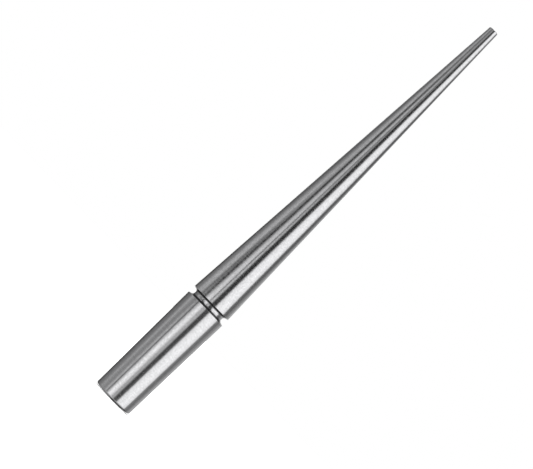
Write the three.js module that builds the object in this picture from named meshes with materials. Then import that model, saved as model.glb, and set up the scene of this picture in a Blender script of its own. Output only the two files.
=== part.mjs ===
// A plain round ring mandrel: a hardened steel taper that rings are formed and trued on, and the
// turned steel handle that it is held or clamped by.
//
// The part stands on its butt. +Z runs along the centre line from the butt to the tip, and the
// origin is the centre of the butt face. All sizes are millimetres.
//
// Two solids make it up:
//   tapered_mandrel  the working taper, the neck below it, the shoulder that seats on the handle and
//                    the tang that goes down inside the handle, all turned from one bar
//   handle           the grip, bored from its front end to take the tang
// The round groove between grip and taper is shared: its lower wall and fillet are the handle's
// front end, and its floor and upper wall are the neck of the taper.

import * as THREE from "three";

// Overall
const LENGTH = 300.0; // butt face to tip face
const SEGMENTS = 96; // facets round the centre line

// Handle
const HANDLE_LENGTH = 73.2; // butt face to the edge of the groove
const HANDLE_BUTT_D = 25.4;
const HANDLE_FRONT_D = 27.0;
const BUTT_ROUND = { radial: 3.5, axial: 1.8 }; // the soft rim between the side and the butt face

// Groove and neck
const GROOVE_WIDTH = 4.45; // at the surface
const NECK_D = 21.3; // groove floor
const WALL_DRAFT = 0.25; // how far each groove wall leans out for each mm of depth
const GROOVE_FILLET_R = 1.6; // large, so the groove is nearly a full round
const EDGE_BREAK = 0.2; // broken corner at both lips of the groove

// Taper
const TAPER_BASE_D = 26.9;
const TIP_D = 6.0;
const TIP_ROUND_R = 0.5;

// The seat where the two pieces meet, and the tang inside the handle
const SEAT_GAP = 0.05; // axial, shoulder to handle
const TANG_D = 16.0;
const BORE_D = 16.1;
const TANG_END_Z = 18.0;
const BORE_END_Z = 17.0; // where the bore's full diameter ends, above its drill point
const DRILL_POINT_SLOPE = Math.tan((31 * Math.PI) / 180); // 118 degree point
const BORE_MOUTH_CHAMFER = 0.5;
const TANG_CHAMFER = 1.0;

// Lathe centre holes, 60 degrees, one in each end
const CENTRE_SLOPE = 1 / Math.tan((30 * Math.PI) / 180);
const BUTT_CENTRE = { mouthR: 3.15, pilotR: 1.25, depth: 5.4 };
const TIP_CENTRE = { mouthR: 1.06, pilotR: 0.5, depth: 1.9 };

const HALF_PI = Math.PI / 2;
const point = (r, z) => new THREE.Vector2(r, z);

// Points on an arc about (cr, cz), from angle a to angle b, both ends included. It is round, unless
// another reach is given for the axial direction.
function arc(cr, cz, radius, a, b, steps, axial = radius) {
  const points = [];
  for (let i = 0; i <= steps; i++) {
    const t = a + ((b - a) * i) / steps;
    points.push(point(cr + radius * Math.cos(t), cz + axial * Math.sin(t)));
  }
  return points;
}

// Turns a profile of (radius, height) points round +Z.
function turned(name, profile, material) {
  const mesh = new THREE.Mesh(
    new THREE.LatheGeometry(profile, SEGMENTS),
    material,
  );
  mesh.name = name;
  mesh.rotation.x = HALF_PI; // a lathe geometry turns about Y
  return mesh;
}

// One groove wall, from the fillet's foot on the neck out to the corner at the surface.
// lipR and lipZ are that corner, and side is -1 for the handle's wall and +1 for the taper's.
function grooveWall(lipR, lipZ, side) {
  const lean = Math.atan(WALL_DRAFT);
  const neckR = NECK_D / 2;
  const centreR = neckR + GROOVE_FILLET_R;
  // The wall is the line z = lipZ - side * WALL_DRAFT * (lipR - r), and the fillet touches it and the neck.
  const centreZ =
    lipZ -
    side * (WALL_DRAFT * (lipR - centreR) + GROOVE_FILLET_R / Math.cos(lean));
  const touch = arc(
    centreR,
    centreZ,
    GROOVE_FILLET_R,
    Math.PI,
    side > 0 ? HALF_PI + lean : Math.PI + HALF_PI - lean,
    8,
  );
  const inner = point(
    lipR - EDGE_BREAK,
    lipZ - side * WALL_DRAFT * EDGE_BREAK,
  );
  return { foot: touch[0], points: [...touch, inner] };
}

// The two lips of the groove
const handleLipZ = HANDLE_LENGTH;
const taperLipZ = HANDLE_LENGTH + GROOVE_WIDTH;
const handleWall = grooveWall(HANDLE_FRONT_D / 2, handleLipZ, -1);
const taperWall = grooveWall(TAPER_BASE_D / 2, taperLipZ, 1);
const seatZ = handleWall.foot.y; // the handle's front face, at the fillet's foot
const neckR = NECK_D / 2;

// ---- handle ----
const handleSlope = (HANDLE_FRONT_D - HANDLE_BUTT_D) / 2 / HANDLE_LENGTH;
const buttR = HANDLE_BUTT_D / 2;
const buttCone =
  (BUTT_CENTRE.mouthR - BUTT_CENTRE.pilotR) * CENTRE_SLOPE;
const handleProfile = [
  point(0, BUTT_CENTRE.depth),
  point(
    BUTT_CENTRE.pilotR,
    BUTT_CENTRE.depth - BUTT_CENTRE.pilotR * DRILL_POINT_SLOPE,
  ),
  point(BUTT_CENTRE.pilotR, buttCone),
  point(BUTT_CENTRE.mouthR, 0),
  ...arc(
    buttR + handleSlope * BUTT_ROUND.axial - BUTT_ROUND.radial,
    BUTT_ROUND.axial,
    BUTT_ROUND.radial,
    -HALF_PI,
    0,
    9,
    BUTT_ROUND.axial,
  ),
  point(
    HANDLE_FRONT_D / 2 - handleSlope * EDGE_BREAK,
    handleLipZ - EDGE_BREAK,
  ),
  ...[...handleWall.points].reverse(),
  point(BORE_D / 2 + BORE_MOUTH_CHAMFER, seatZ),
  point(BORE_D / 2, seatZ - BORE_MOUTH_CHAMFER),
  point(BORE_D / 2, BORE_END_Z),
  point(0, BORE_END_Z - (BORE_D / 2) * DRILL_POINT_SLOPE),
];

// ---- tapered mandrel ----
const taperSlope = (TAPER_BASE_D - TIP_D) / 2 / (LENGTH - taperLipZ);
const tipR = TIP_D / 2;
const tipCone = (TIP_CENTRE.mouthR - TIP_CENTRE.pilotR) * CENTRE_SLOPE;
const taperProfile = [
  point(0, TANG_END_Z),
  point(TANG_D / 2 - TANG_CHAMFER, TANG_END_Z),
  point(TANG_D / 2, TANG_END_Z + TANG_CHAMFER),
  point(TANG_D / 2, seatZ + SEAT_GAP),
  point(neckR, seatZ + SEAT_GAP),
  ...taperWall.points,
  point(
    TAPER_BASE_D / 2 - taperSlope * EDGE_BREAK,
    taperLipZ + EDGE_BREAK,
  ),
  ...arc(
    tipR + taperSlope * TIP_ROUND_R - TIP_ROUND_R,
    LENGTH - TIP_ROUND_R,
    TIP_ROUND_R,
    0,
    HALF_PI,
    4,
  ),
  point(TIP_CENTRE.mouthR, LENGTH),
  point(TIP_CENTRE.pilotR, LENGTH - tipCone),
  point(
    TIP_CENTRE.pilotR,
    LENGTH - TIP_CENTRE.depth + TIP_CENTRE.pilotR * DRILL_POINT_SLOPE,
  ),
  point(0, LENGTH - TIP_CENTRE.depth),
];

const taperSteel = new THREE.MeshStandardMaterial({
  color: 0xb4b5b7, // ground and polished hardened steel
  roughness: 0.22,
  metalness: 1.0,
});
const handleSteel = new THREE.MeshStandardMaterial({
  color: 0xbcbdbf, // fine-turned steel
  roughness: 0.26,
  metalness: 1.0,
});

const mandrel = new THREE.Group();
mandrel.add(turned("handle", handleProfile, handleSteel));
mandrel.add(turned("tapered_mandrel", taperProfile, taperSteel));

export default mandrel;
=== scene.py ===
"""A plain steel ring mandrel, standing on its butt: a ground taper pressed into a turned handle.

The two visible pieces are high-resolution bodies of revolution that stand for the two CAD nodes.
Lengths in the profiles are millimetres, and become metres in the mesh. Everything else is metres.
"""

import math

import bmesh
import bpy
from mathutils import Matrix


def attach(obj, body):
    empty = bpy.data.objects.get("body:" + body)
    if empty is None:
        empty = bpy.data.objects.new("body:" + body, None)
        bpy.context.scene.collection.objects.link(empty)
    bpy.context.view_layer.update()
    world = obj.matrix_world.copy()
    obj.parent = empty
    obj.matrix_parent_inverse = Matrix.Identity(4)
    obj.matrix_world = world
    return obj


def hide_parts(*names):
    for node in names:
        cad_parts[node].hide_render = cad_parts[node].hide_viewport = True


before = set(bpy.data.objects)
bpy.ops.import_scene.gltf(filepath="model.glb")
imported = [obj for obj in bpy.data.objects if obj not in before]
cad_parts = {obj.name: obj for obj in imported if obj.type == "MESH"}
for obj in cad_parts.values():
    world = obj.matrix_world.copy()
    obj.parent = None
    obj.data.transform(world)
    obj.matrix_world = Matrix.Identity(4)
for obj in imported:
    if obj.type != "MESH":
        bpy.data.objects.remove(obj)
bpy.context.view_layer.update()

MM = 0.001
scene = bpy.context.scene

# ------------------------------------------------------------------ sizes, as in the CAD
LENGTH = 300.0
HANDLE_LENGTH = 73.2
HANDLE_BUTT_R = 12.7
HANDLE_FRONT_R = 13.5
BUTT_ROUND = (3.5, 1.8)  # radial, axial
GROOVE_WIDTH = 4.45
NECK_R = 10.65
WALL_DRAFT = 0.25
GROOVE_FILLET = 1.6
TAPER_BASE_R = 13.45
TIP_R = 3.0
TIP_ROUND = 0.5
LIP_ROUND = 0.22
SEAT_GAP = 0.02  # a hairline joint
TANG_R = 8.0
BORE_R = 8.05
TANG_END_Z = 18.0
BORE_END_Z = 17.0
DRILL_SLOPE = math.tan(math.radians(31.0))
CENTRE_SLOPE = 1.0 / math.tan(math.radians(30.0))
SEGMENTS = 288


# ------------------------------------------------------------------ profiles
def arc(cr, cz, radius, a, b, steps, axial=None):
    """Points on an arc about (cr, cz) from angle a to angle b, in degrees: round, or with its own
    reach in the axial direction."""
    out = []
    for i in range(steps + 1):
        t = math.radians(a + (b - a) * i / steps)
        out.append((cr + radius * math.cos(t), cz + (axial or radius) * math.sin(t)))
    return out


def line(p, q, steps):
    """Points between p and q, both left out."""
    return [
        (p[0] + (q[0] - p[0]) * i / steps, p[1] + (q[1] - p[1]) * i / steps)
        for i in range(1, steps)
    ]


def corner(p, c, q, radius, steps=5):
    """The corner c between the lines to p and to q, rounded to radius."""
    ux, uz = p[0] - c[0], p[1] - c[1]
    vx, vz = q[0] - c[0], q[1] - c[1]
    lu, lv = math.hypot(ux, uz), math.hypot(vx, vz)
    ux, uz, vx, vz = ux / lu, uz / lu, vx / lv, vz / lv
    half = math.acos(max(-1.0, min(1.0, ux * vx + uz * vz))) / 2
    back = radius / math.tan(half)
    bx, bz = ux + vx, uz + vz
    lb = math.hypot(bx, bz)
    centre = (
        c[0] + bx / lb * radius / math.sin(half),
        c[1] + bz / lb * radius / math.sin(half),
    )
    a = math.atan2(c[1] + uz * back - centre[1], c[0] + ux * back - centre[0])
    b = math.atan2(c[1] + vz * back - centre[1], c[0] + vx * back - centre[0])
    while b - a > math.pi:
        b -= 2 * math.pi
    while b - a < -math.pi:
        b += 2 * math.pi
    return [
        (
            centre[0] + radius * math.cos(a + (b - a) * i / steps),
            centre[1] + radius * math.sin(a + (b - a) * i / steps),
        )
        for i in range(steps + 1)
    ]


def groove_wall(lip_r, lip_z, side):
    """The foot of a groove wall on the neck, and the fillet's points from there up to the wall."""
    lean = math.atan(WALL_DRAFT)
    cr = NECK_R + GROOVE_FILLET
    cz = lip_z - side * (WALL_DRAFT * (lip_r - cr) + GROOVE_FILLET / math.cos(lean))
    end = 90 + math.degrees(lean) if side > 0 else 270 - math.degrees(lean)
    return arc(cr, cz, GROOVE_FILLET, 180, end, 20)


handle_lip = (HANDLE_FRONT_R, HANDLE_LENGTH)
taper_lip = (TAPER_BASE_R, HANDLE_LENGTH + GROOVE_WIDTH)
handle_fillet = groove_wall(*handle_lip, -1)
taper_fillet = groove_wall(*taper_lip, 1)
SEAT_Z = handle_fillet[0][1]

# The handle, from the bottom of its centre hole round the outside to the end of its bore.
handle_slope = (HANDLE_FRONT_R - HANDLE_BUTT_R) / HANDLE_LENGTH
side_low = (HANDLE_BUTT_R + handle_slope * BUTT_ROUND[1], BUTT_ROUND[1])
handle_profile = [
    (0.0, 5.4),
    (1.25, 5.4 - 1.25 * DRILL_SLOPE),
    (1.25, (3.15 - 1.25) * CENTRE_SLOPE),
    *line((1.25, (3.15 - 1.25) * CENTRE_SLOPE), (3.15, 0.0), 6),
    *corner((1.25, (3.15 - 1.25) * CENTRE_SLOPE), (3.15, 0.0), (8.0, 0.0), 0.12, 4),
    *line((3.3, 0.0), (side_low[0] - BUTT_ROUND[0], 0.0), 16),
    *arc(side_low[0] - BUTT_ROUND[0], BUTT_ROUND[1], BUTT_ROUND[0], -90, 0, 18, BUTT_ROUND[1]),
    *line(side_low, (HANDLE_FRONT_R, HANDLE_LENGTH - 0.4), 60),
    *corner(side_low, handle_lip, handle_fillet[-1], LIP_ROUND, 6),
    *handle_fillet[::-1],
    (BORE_R + 0.5, SEAT_Z),
    (BORE_R, SEAT_Z - 0.5),
    *line((BORE_R, SEAT_Z - 0.5), (BORE_R, BORE_END_Z), 6),
    (BORE_R, BORE_END_Z),
    (0.0, BORE_END_Z - BORE_R * DRILL_SLOPE),
]

# The taper, from the bottom of its tang round the outside to the bottom of its centre hole.
tip_edge = (TIP_R, LENGTH)
tip_cone_z = LENGTH - (1.06 - 0.5) * CENTRE_SLOPE
taper_profile = [
    (0.0, TANG_END_Z),
    (TANG_R - 1.0, TANG_END_Z),
    (TANG_R, TANG_END_Z + 1.0),
    *line((TANG_R, TANG_END_Z + 1.0), (TANG_R, SEAT_Z + SEAT_GAP), 6),
    (TANG_R, SEAT_Z + SEAT_GAP),
    (NECK_R - 0.03, SEAT_Z + SEAT_GAP),
    (NECK_R, SEAT_Z + SEAT_GAP + 0.03),
    *line((NECK_R, SEAT_Z + SEAT_GAP + 0.03), taper_fillet[0], 8),
    *taper_fillet,
    *corner(taper_fillet[-1], taper_lip, tip_edge, LIP_ROUND, 6),
    *line((TAPER_BASE_R, HANDLE_LENGTH + GROOVE_WIDTH + 0.4), (TIP_R, LENGTH - 0.4), 180),
    *corner(taper_lip, tip_edge, (0.0, LENGTH), TIP_ROUND, 10),
    *line((TIP_R - TIP_ROUND, LENGTH), (1.15, LENGTH), 4),
    *corner((2.0, LENGTH), (1.06, LENGTH), (0.5, tip_cone_z), 0.05, 3),
    (0.5, tip_cone_z),
    (0.5, LENGTH - 1.9 + 0.5 * DRILL_SLOPE),
    (0.0, LENGTH - 1.9),
]


def straighten(profile, r0, z0, r1, z1):
    """Puts the profile's points between heights z0 and z1 that lie near the line exactly on it."""
    out = []
    for r, z in profile:
        if z0 < z < z1:
            on = r0 + (r1 - r0) * (z - z0) / (z1 - z0)
            if abs(r - on) < 0.06:
                r = on
        out.append((r, z))
    return out


def side_line(profile, a, b):
    """The profile with its long side between the end corners a and b made exactly straight."""
    return straighten(profile, a[0], a[1], b[0], b[1])


def turned(name, profile):
    """A closed body of revolution about +Z, of quads, with triangles at the two points on the axis."""
    bm = bmesh.new()
    rings = []
    for r, z in profile:
        if r < 1e-9:
            rings.append([bm.verts.new((0.0, 0.0, z * MM))])
        else:
            rings.append(
                [
                    bm.verts.new(
                        (
                            r * MM * math.cos(2 * math.pi * k / SEGMENTS),
                            r * MM * math.sin(2 * math.pi * k / SEGMENTS),
                            z * MM,
                        )
                    )
                    for k in range(SEGMENTS)
                ]
            )
    for low, high in zip(rings, rings[1:]):
        for k in range(SEGMENTS):
            n = (k + 1) % SEGMENTS
            if len(low) == 1:
                bm.faces.new((low[0], high[n], high[k]))
            elif len(high) == 1:
                bm.faces.new((low[k], low[n], high[0]))
            else:
                bm.faces.new((low[k], low[n], high[n], high[k]))
    bmesh.ops.recalc_face_normals(bm, faces=bm.faces[:])
    if bm.calc_volume(signed=True) < 0:
        bmesh.ops.reverse_faces(bm, faces=bm.faces[:])
    sharp = math.radians(20.0)
    for e in bm.edges:
        e.smooth = len(e.link_faces) != 2 or e.calc_face_angle(0.0) < sharp
    for f in bm.faces:
        f.smooth = True
    mesh = bpy.data.meshes.new(name)
    bm.to_mesh(mesh)
    bm.free()
    ob = bpy.data.objects.new(name, mesh)
    scene.collection.objects.link(ob)
    return ob


# ------------------------------------------------------------------ material helpers
class Nodes:
    """Short names for making and joining shader nodes."""

    def __init__(self, tree):
        self.tree = tree
        self.tree.nodes.clear()

    def put(self, kind, **settings):
        node = self.tree.nodes.new(kind)
        for key, value in settings.items():
            setattr(node, key, value)
        return node

    def join(self, a, b):
        self.tree.links.new(a, b)

    def math(self, op, a, b=None, c=None, clamp=False):
        node = self.put("ShaderNodeMath", operation=op, use_clamp=clamp)
        for socket, value in zip(node.inputs, (a, b, c)):
            if value is None:
                continue
            if isinstance(value, (int, float)):
                socket.default_value = value
            else:
                self.join(value, socket)
        return node.outputs[0]

    def noise(self, vector, detail=2.0, roughness=0.5, scale=1.0):
        node = self.put("ShaderNodeTexNoise", noise_dimensions="3D")
        node.inputs["Scale"].default_value = scale
        node.inputs["Detail"].default_value = detail
        node.inputs["Roughness"].default_value = roughness
        self.join(vector, node.inputs["Vector"])
        return node.outputs["Fac"]

    def span(self, value, low, high, to_low, to_high, kind="LINEAR"):
        node = self.put("ShaderNodeMapRange", interpolation_type=kind, clamp=True)
        self.join(value, node.inputs["Value"])
        for key, v in zip(
            ("From Min", "From Max", "To Min", "To Max"), (low, high, to_low, to_high)
        ):
            node.inputs[key].default_value = v
        return node.outputs["Result"]


def steel(name, colour, rough, anisotropy, grain, chatter, lines, seed, groove):
    """Steel turned or ground round its centre line: fine marks run round it, and none along it.

    The marks are drawn in the piece's own coordinates, a few millimetres long round the tool and a
    fraction of a millimetre wide along it. grain is how much the bare steel's brightness varies
    from spot to spot, as a share. chatter is how far, in metres, the surface waves along
    a mark, which frays the edges of reflections. lines is the depth in metres of the marks.
    groove holds the heights of the groove's two lips, the radii between which its walls
    are darkened as painted shade in the groove, and how strong that painted shade is.
    """
    mat = bpy.data.materials.new(name)
    mat.use_nodes = True
    n = Nodes(mat.node_tree)
    out = n.put("ShaderNodeOutputMaterial")
    bsdf = n.put("ShaderNodeBsdfPrincipled")
    n.join(bsdf.outputs[0], out.inputs["Surface"])
    bsdf.inputs["Metallic"].default_value = 1.0
    bsdf.inputs["Anisotropic"].default_value = anisotropy
    bsdf.inputs["Anisotropic Rotation"].default_value = 0.25

    place = n.put("ShaderNodeTexCoord").outputs["Object"]
    xyz = n.put("ShaderNodeSeparateXYZ")
    n.join(place, xyz.inputs[0])
    x, y, z = xyz.outputs
    radius = n.math("SQRT", n.math("ADD", n.math("MULTIPLY", x, x), n.math("MULTIPLY", y, y)))

    # Along the side, marks are told apart by height. On the end faces, by radius.
    along = n.math("ADD", z, n.math("MULTIPLY", radius, 0.93))

    def marks(length, width, offset, detail, roughness):
        """Noise whose cells are length mm long round the tool and width mm wide across the marks."""
        node = n.put("ShaderNodeCombineXYZ")
        n.join(n.math("MULTIPLY_ADD", x, 1000.0 / length, seed + offset), node.inputs[0])
        n.join(n.math("MULTIPLY_ADD", y, 1000.0 / length, offset), node.inputs[1])
        n.join(n.math("MULTIPLY", along, 1000.0 / width), node.inputs[2])
        return n.noise(node.outputs[0], detail, roughness)

    grind = marks(4.0, 0.26, 3.1, 3.0, 0.65)
    bands = marks(12.0, 0.7, 7.7, 2.0, 0.5)
    wander = marks(2.4, 0.6, 1.3, 2.0, 0.6)
    mottle = marks(1.1, 1.0, 5.9, 3.0, 0.6)

    # Bare steel, a touch darker in the deeper marks.
    shade = n.math(
        "ADD",
        n.span(grind, 0.3, 0.7, -0.08, 0.06),
        n.math(
            "ADD",
            n.span(bands, 0.3, 0.7, -0.02, 0.02),
            n.span(mottle, 0.3, 0.7, -grain, grain),
        ),
    )
    level = n.math("ADD", shade, 1.0)

    # The groove's walls: painted shade, the base colour darkened between the lips.
    low_lip, high_lip, floor_r, wall_r, dark = groove
    wall = n.math(
        "MULTIPLY",
        n.math(
            "MULTIPLY",
            n.span(z, low_lip, low_lip + 0.0001, 0.0, 1.0, "SMOOTHSTEP"),
            n.span(z, high_lip - 0.0001, high_lip, 1.0, 0.0, "SMOOTHSTEP"),
        ),
        n.span(radius, floor_r, wall_r, 0.0, 1.0, "SMOOTHSTEP"),
    )
    level = n.math("MULTIPLY", level, n.math("MULTIPLY_ADD", wall, -dark, 1.0))

    tint = n.put("ShaderNodeVectorMath", operation="SCALE")
    tint.inputs[0].default_value = colour
    n.join(level, tint.inputs["Scale"])
    n.join(tint.outputs[0], bsdf.inputs["Base Color"])

    # Roughness: finer and coarser rings, and faint mottling.
    rough_out = n.math(
        "ADD",
        n.span(bands, 0.3, 0.7, rough - 0.025, rough + 0.035),
        n.math("ADD", n.span(grind, 0.3, 0.7, -0.02, 0.02), n.span(mottle, 0.3, 0.7, 0.08, -0.05)),
    )
    rough_out = n.math("MULTIPLY_ADD", wall, 0.25, rough_out)
    n.join(rough_out, bsdf.inputs["Roughness"])

    # Relief: the marks across the axis, and the slight waves along them, deepest where the tool
    # is thick.
    thick = n.math("POWER", n.span(radius, 0.0055, 0.0125, 0.0, 1.0), 2.0)
    height = n.math(
        "ADD",
        n.math("MULTIPLY", grind, lines),
        n.math("MULTIPLY", wander, n.math("MULTIPLY_ADD", thick, 1.4 * chatter, 0.18 * chatter)),
    )
    bump = n.put("ShaderNodeBump")
    bump.inputs["Strength"].default_value = 1.0
    bump.inputs["Distance"].default_value = 1.0
    n.join(height, bump.inputs["Height"])
    n.join(bump.outputs[0], bsdf.inputs["Normal"])
    return mat


# ------------------------------------------------------------------ the two pieces
taper = turned("taper_steel", side_line(taper_profile, taper_lip, tip_edge))
handle = turned("handle_steel", side_line(handle_profile, side_low, handle_lip))

GROOVE = (HANDLE_LENGTH * MM, (HANDLE_LENGTH + GROOVE_WIDTH) * MM)
# The last groove entry sets how strongly the groove's walls are darkened: painted shade.
taper.data.materials.append(
    steel(
        "ground_steel",
        (0.62, 0.62, 0.63),
        0.18,
        0.90,
        0.11,
        20e-6,
        3.0e-6,
        2.0,
        (*GROOVE, (NECK_R + 0.22) * MM, (NECK_R + 0.55) * MM, 0.88),
    )
)
handle.data.materials.append(
    steel(
        "turned_steel",
        (0.62, 0.62, 0.63),
        0.18,
        0.90,
        0.08,
        9e-6,
        2.5e-6,
        31.0,
        (*GROOVE, (NECK_R + 0.05) * MM, (NECK_R + 0.4) * MM, 0.80),
    )
)

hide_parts("tapered_mandrel")
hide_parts("handle")
for piece, slot in ((taper, "ground_steel"), (handle, "turned_steel")):
    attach(piece, "root")

# ------------------------------------------------------------------ floor
mesh = bpy.data.meshes.new("studio_floor")
S = 60.0
mesh.from_pydata([(-S, -S, 0), (S, -S, 0), (S, S, 0), (-S, S, 0)], [], [(0, 1, 2, 3)])
floor = bpy.data.objects.new("studio_floor", mesh)
scene.collection.objects.link(floor)
floor_mat = bpy.data.materials.new("floor_paper")
floor_mat.use_nodes = True
shader = floor_mat.node_tree.nodes["Principled BSDF"]
shader.inputs["Base Color"].default_value = (0.9, 0.9, 0.9, 1)
shader.inputs["Roughness"].default_value = 0.9
shader.inputs["Specular IOR Level"].default_value = 0.0
mesh.materials.append(floor_mat)
floor.visible_glossy = False

# ------------------------------------------------------------------ studio light
# Upright soft panels, flags and gaps stand all round the tool, drawn on one drum. Only
# reflections see it. Each list goes round the drum: the direction in degrees from -Y towards +X,
# and the brightness there. UNDER is below the tool, LOW at the height of the handle, MID at the
# foot of the taper, FAR at two thirds of its length, HIGH at the tip, and OVER above it.
UNDER = [
    (-180, 0.10), (-165, 0.28), (-120, 0.30), (-90, 0.36), (-60, 0.50), (-45, 0.60),
    (-20, 1.00), (0, 0.60), (12, 0.35), (28, 0.45), (60, 0.50), (88, 0.45), (105, 0.25),
    (130, 0.04), (180, 0.03),
]
LOW = [
    (-180, 0.07), (-150, 0.06), (-128, 0.20), (-112, 0.26), (-97, 0.41), (-88, 0.46),
    (-80, 0.37), (-73, 0.30), (-67, 0.32), (-59, 0.60), (-51.5, 0.55), (-49.2, 0.16),
    (-46, 0.14), (-43.5, 0.50), (-40, 0.90), (-30, 1.26), (-18, 1.32), (-13.5, 0.88), (-9, 0.60),
    (2, 0.50), (5, 0.16), (10, 0.05), (18, 0.09), (24, 0.13), (28.5, 0.88), (33.5, 1.24),
    (60, 1.44), (84, 1.20), (90, 0.30), (108, 0.20), (142, 0.56), (165, 0.34),
]
MID = [
    (-147, 0.07), (-128, 0.22), (-112, 0.32), (-97, 0.55), (-88, 0.68),
    (-80, 0.68), (-74, 0.45), (-67.3, 0.07), (-60, 0.15), (-53, 0.07), (-49, 0.02), (-44, 0.03),
    (-40.5, 0.27), (-35.5, 0.60), (-20, 0.95), (-15.4, 0.80), (-13.6, 0.03),
    (-10.1, 0.03), (-8.2, 0.68), (-2.5, 0.90), (0.4, 0.72), (3.2, 0.05), (18, 0.02), (22.8, 0.06),
    (26.8, 0.88), (31.5, 1.28), (60, 1.44), (82.3, 1.20), (89.2, 0.14), (108, 0.14),
    (128, 0.42), (146, 0.55),
]
FAR = [
    (-160, 0.30), (-139, 0.11), (-125, 0.14), (-112, 0.22), (-92, 0.36),
    (-84, 0.49), (-77, 0.65), (-69, 0.67), (-63.5, 0.50), (-57.5, 0.20), (-52.5, 0.05), (-45, 0.04),
    (-39, 0.20), (-33, 0.51), (-26, 0.75), (-20.5, 0.72), (-15.5, 0.32), (-10.5, 0.17), (-5.5, 0.34),
    (-1, 0.42), (2.3, 0.08), (5.5, 0.02), (19.5, 0.02), (22.8, 0.16), (26.8, 0.73), (31.3, 1.17),
    (58, 1.36), (78, 1.18), (86, 0.78), (94, 0.17), (119, 0.13), (138, 0.36),
]
HIGH = [
    (-180, 0.40), (-155, 0.24), (-130, 0.22), (-112, 0.25), (-100, 0.33), (-90, 0.43),
    (-79, 0.50), (-71, 0.44), (-63, 0.34), (-54, 0.28), (-45, 0.26), (-32, 0.30), (-22, 0.36),
    (-14, 0.33), (-8, 0.22), (-3, 0.08), (15.5, 0.04), (20.5, 0.20), (25.8, 0.84), (31.3, 1.24),
    (54, 1.42), (73, 1.28), (81, 0.98), (92, 0.40), (104, 0.21), (122, 0.26), (144, 0.42),
]
OVER = [
    (-180, 0.30), (-110, 0.30), (-85, 0.10), (-60, 0.04), (15, 0.03), (26, 0.10), (33, 1.10),
    (86, 1.10), (95, 0.15), (180, 0.34),
]
PEAK = 1.5


def strip_of(n, value, column):
    """A colour ramp that holds one of the lists above, read at value, the turn from 0 to 1."""
    ramp = n.put("ShaderNodeValToRGB")
    n.join(value, ramp.inputs[0])
    ramp.color_ramp.interpolation = "LINEAR"
    while len(ramp.color_ramp.elements) < len(column):
        ramp.color_ramp.elements.new(1.0)
    for element, row in zip(ramp.color_ramp.elements, column):
        element.position = (row[0] + 180.0) / 360.0
    for element, row in zip(ramp.color_ramp.elements, column):
        v = row[1] / PEAK
        element.color = (v, v, v, 1.0)
    return ramp.outputs[0]


def mix(n, a, b, share):
    """a where share is 0, and b where it is 1."""
    return n.math("MULTIPLY_ADD", n.math("SUBTRACT", b, a), share, a)


DRUM_R, DRUM_LOW, DRUM_HIGH = 0.25, -1.0, 1.3
bm = bmesh.new()
bmesh.ops.create_cone(
    bm, cap_ends=False, segments=120, radius1=DRUM_R, radius2=DRUM_R, depth=DRUM_HIGH - DRUM_LOW
)
bmesh.ops.translate(bm, verts=bm.verts[:], vec=(0, 0, (DRUM_HIGH + DRUM_LOW) / 2))
mesh = bpy.data.meshes.new("studio_drum")
bm.to_mesh(mesh)
bm.free()
drum = bpy.data.objects.new("studio_drum", mesh)
scene.collection.objects.link(drum)
drum_mat = bpy.data.materials.new("studio_panels")
drum_mat.use_nodes = True
drum_mat.cycles.emission_sampling = "NONE"
n = Nodes(drum_mat.node_tree)
out = n.put("ShaderNodeOutputMaterial")
at = n.put("ShaderNodeSeparateXYZ")
n.join(n.put("ShaderNodeTexCoord").outputs["Object"], at.inputs[0])
px, py, pz = at.outputs
turn = swing = n.math("ARCTAN2", px, n.math("MULTIPLY", py, -1.0))
# The panels lean: higher up, each stands further round, and most so the ones to the side.
side = n.math(
    "ADD",
    n.math(
        "ADD",
        n.span(turn, math.radians(8), math.radians(30), 7.5, 12.5),
        n.span(turn, math.radians(60), math.radians(95), 0.0, 1.0),
    ),
    n.span(turn, math.radians(-150), math.radians(-90), 8.0, 0.0),
)
rise = n.math(
    "SUBTRACT",
    n.span(pz, 0.095, 0.250, 0.0, 1.0, "SMOOTHSTEP"),
    n.span(pz, 0.30, 0.37, 0.0, 0.40, "SMOOTHSTEP"),
)
lean = n.math("MULTIPLY", n.math("MULTIPLY", side, rise), math.radians(1.0))
turn = n.math("MULTIPLY_ADD", n.math("SUBTRACT", turn, lean), 1 / (2 * math.pi), 0.5)
level = strip_of(n, turn, LOW)
for column, start, end, kind in (
    (MID, 0.078, 0.098, "SMOOTHSTEP"),
    (FAR, 0.130, 0.265, "LINEAR"),
    (HIGH, 0.280, 0.350, "LINEAR"),
    (OVER, 0.40, 0.52, "SMOOTHSTEP"),
):
    level = mix(n, level, strip_of(n, turn, column), n.span(pz, start, end, 0.0, 1.0, kind))
level = mix(
    n, level, strip_of(n, turn, UNDER), n.span(pz, -0.20, -0.05, 1.0, 0.0, "SMOOTHSTEP")
)
# A bright strip stands straight behind the tool.
behind = n.math(
    "MULTIPLY",
    n.span(n.math("ABSOLUTE", swing), math.radians(167), math.radians(170.5), 0.0, 1.0),
    n.span(pz, -0.13, -0.08, 0.0, 1.0),
)
level = n.math("MULTIPLY_ADD", n.math("SUBTRACT", 1.15, level), behind, level)
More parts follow.
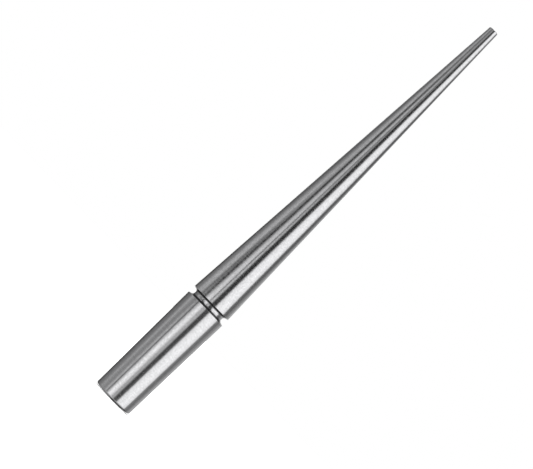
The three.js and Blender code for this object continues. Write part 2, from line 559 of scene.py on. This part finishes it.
# Creases in the grey cloths make faint streaks. The white one hangs flat.
at = n.put("ShaderNodeCombineXYZ")
n.join(n.math("MULTIPLY", turn, 75.0), at.inputs[0])
n.join(n.math("MULTIPLY", pz, 6.0), at.inputs[1])
cloth = n.math(
    "ADD",
    n.span(turn, 0.5 + 14 / 360, 0.5 + 28 / 360, 1.0, 0.0),
    n.span(turn, 0.5 + 88 / 360, 0.5 + 104 / 360, 0.0, 1.0),
)
crease = n.span(n.noise(at.outputs[0], 3.0, 0.6), 0.3, 0.7, -0.36, 0.36)
level = n.math("MULTIPLY", level, n.math("MULTIPLY_ADD", crease, cloth, 1.0))
glow = n.put("ShaderNodeEmission")
n.join(n.math("MULTIPLY", level, PEAK), glow.inputs["Strength"])
n.join(glow.outputs[0], out.inputs["Surface"])
mesh.materials.append(drum_mat)
for ray in ("camera", "diffuse", "transmission", "volume_scatter", "shadow"):
    setattr(drum, "visible_" + ray, False)

# Round and over the drum is an even white room, which lights the floor.
world = bpy.data.worlds.new("studio")
scene.world = world
world.use_nodes = True
n = Nodes(world.node_tree)
out = n.put("ShaderNodeOutputWorld")
direction = n.put("ShaderNodeSeparateXYZ")
n.join(n.put("ShaderNodeTexCoord").outputs["Generated"], direction.inputs[0])
dx, dy, dz = direction.outputs
room = n.span(dz, -0.3, 0.2, 0.06, 1.05, "SMOOTHSTEP")
lit = n.put("ShaderNodeBackground")
n.join(room, lit.inputs["Strength"])
lit.inputs["Color"].default_value = (1, 1, 1, 1)
backdrop = n.put("ShaderNodeBackground")
backdrop.inputs["Color"].default_value = (1, 1, 1, 1)
backdrop.inputs["Strength"].default_value = 1.0
seen = n.put("ShaderNodeMixShader")
n.join(n.put("ShaderNodeLightPath").outputs["Is Camera Ray"], seen.inputs[0])
n.join(lit.outputs[0], seen.inputs[1])
n.join(backdrop.outputs[0], seen.inputs[2])
n.join(seen.outputs[0], out.inputs["Surface"])

sun = bpy.data.lights.new("key", "SUN")
sun.energy = 2.6
sun.angle = math.radians(28.0)
key = bpy.data.objects.new("key", sun)
key.rotation_euler = (math.radians(45.0), 0.0, 0.0)
key.visible_glossy = False
scene.collection.objects.link(key)

# ------------------------------------------------------------------ camera
cam = bpy.data.cameras.new("camera")
cam.lens = 167.91631
cam.sensor_width = 36.0
cam.clip_start, cam.clip_end = 0.1, 200.0
camera = bpy.data.objects.new("camera", cam)
camera.location = (0.0, -1.4, 0.062)
camera.rotation_euler = (1.63746737, -0.803033, -0.04357463)
scene.collection.objects.link(camera)
scene.camera = camera

scene.view_settings.view_transform = "Standard"
scene.view_settings.look = "None"
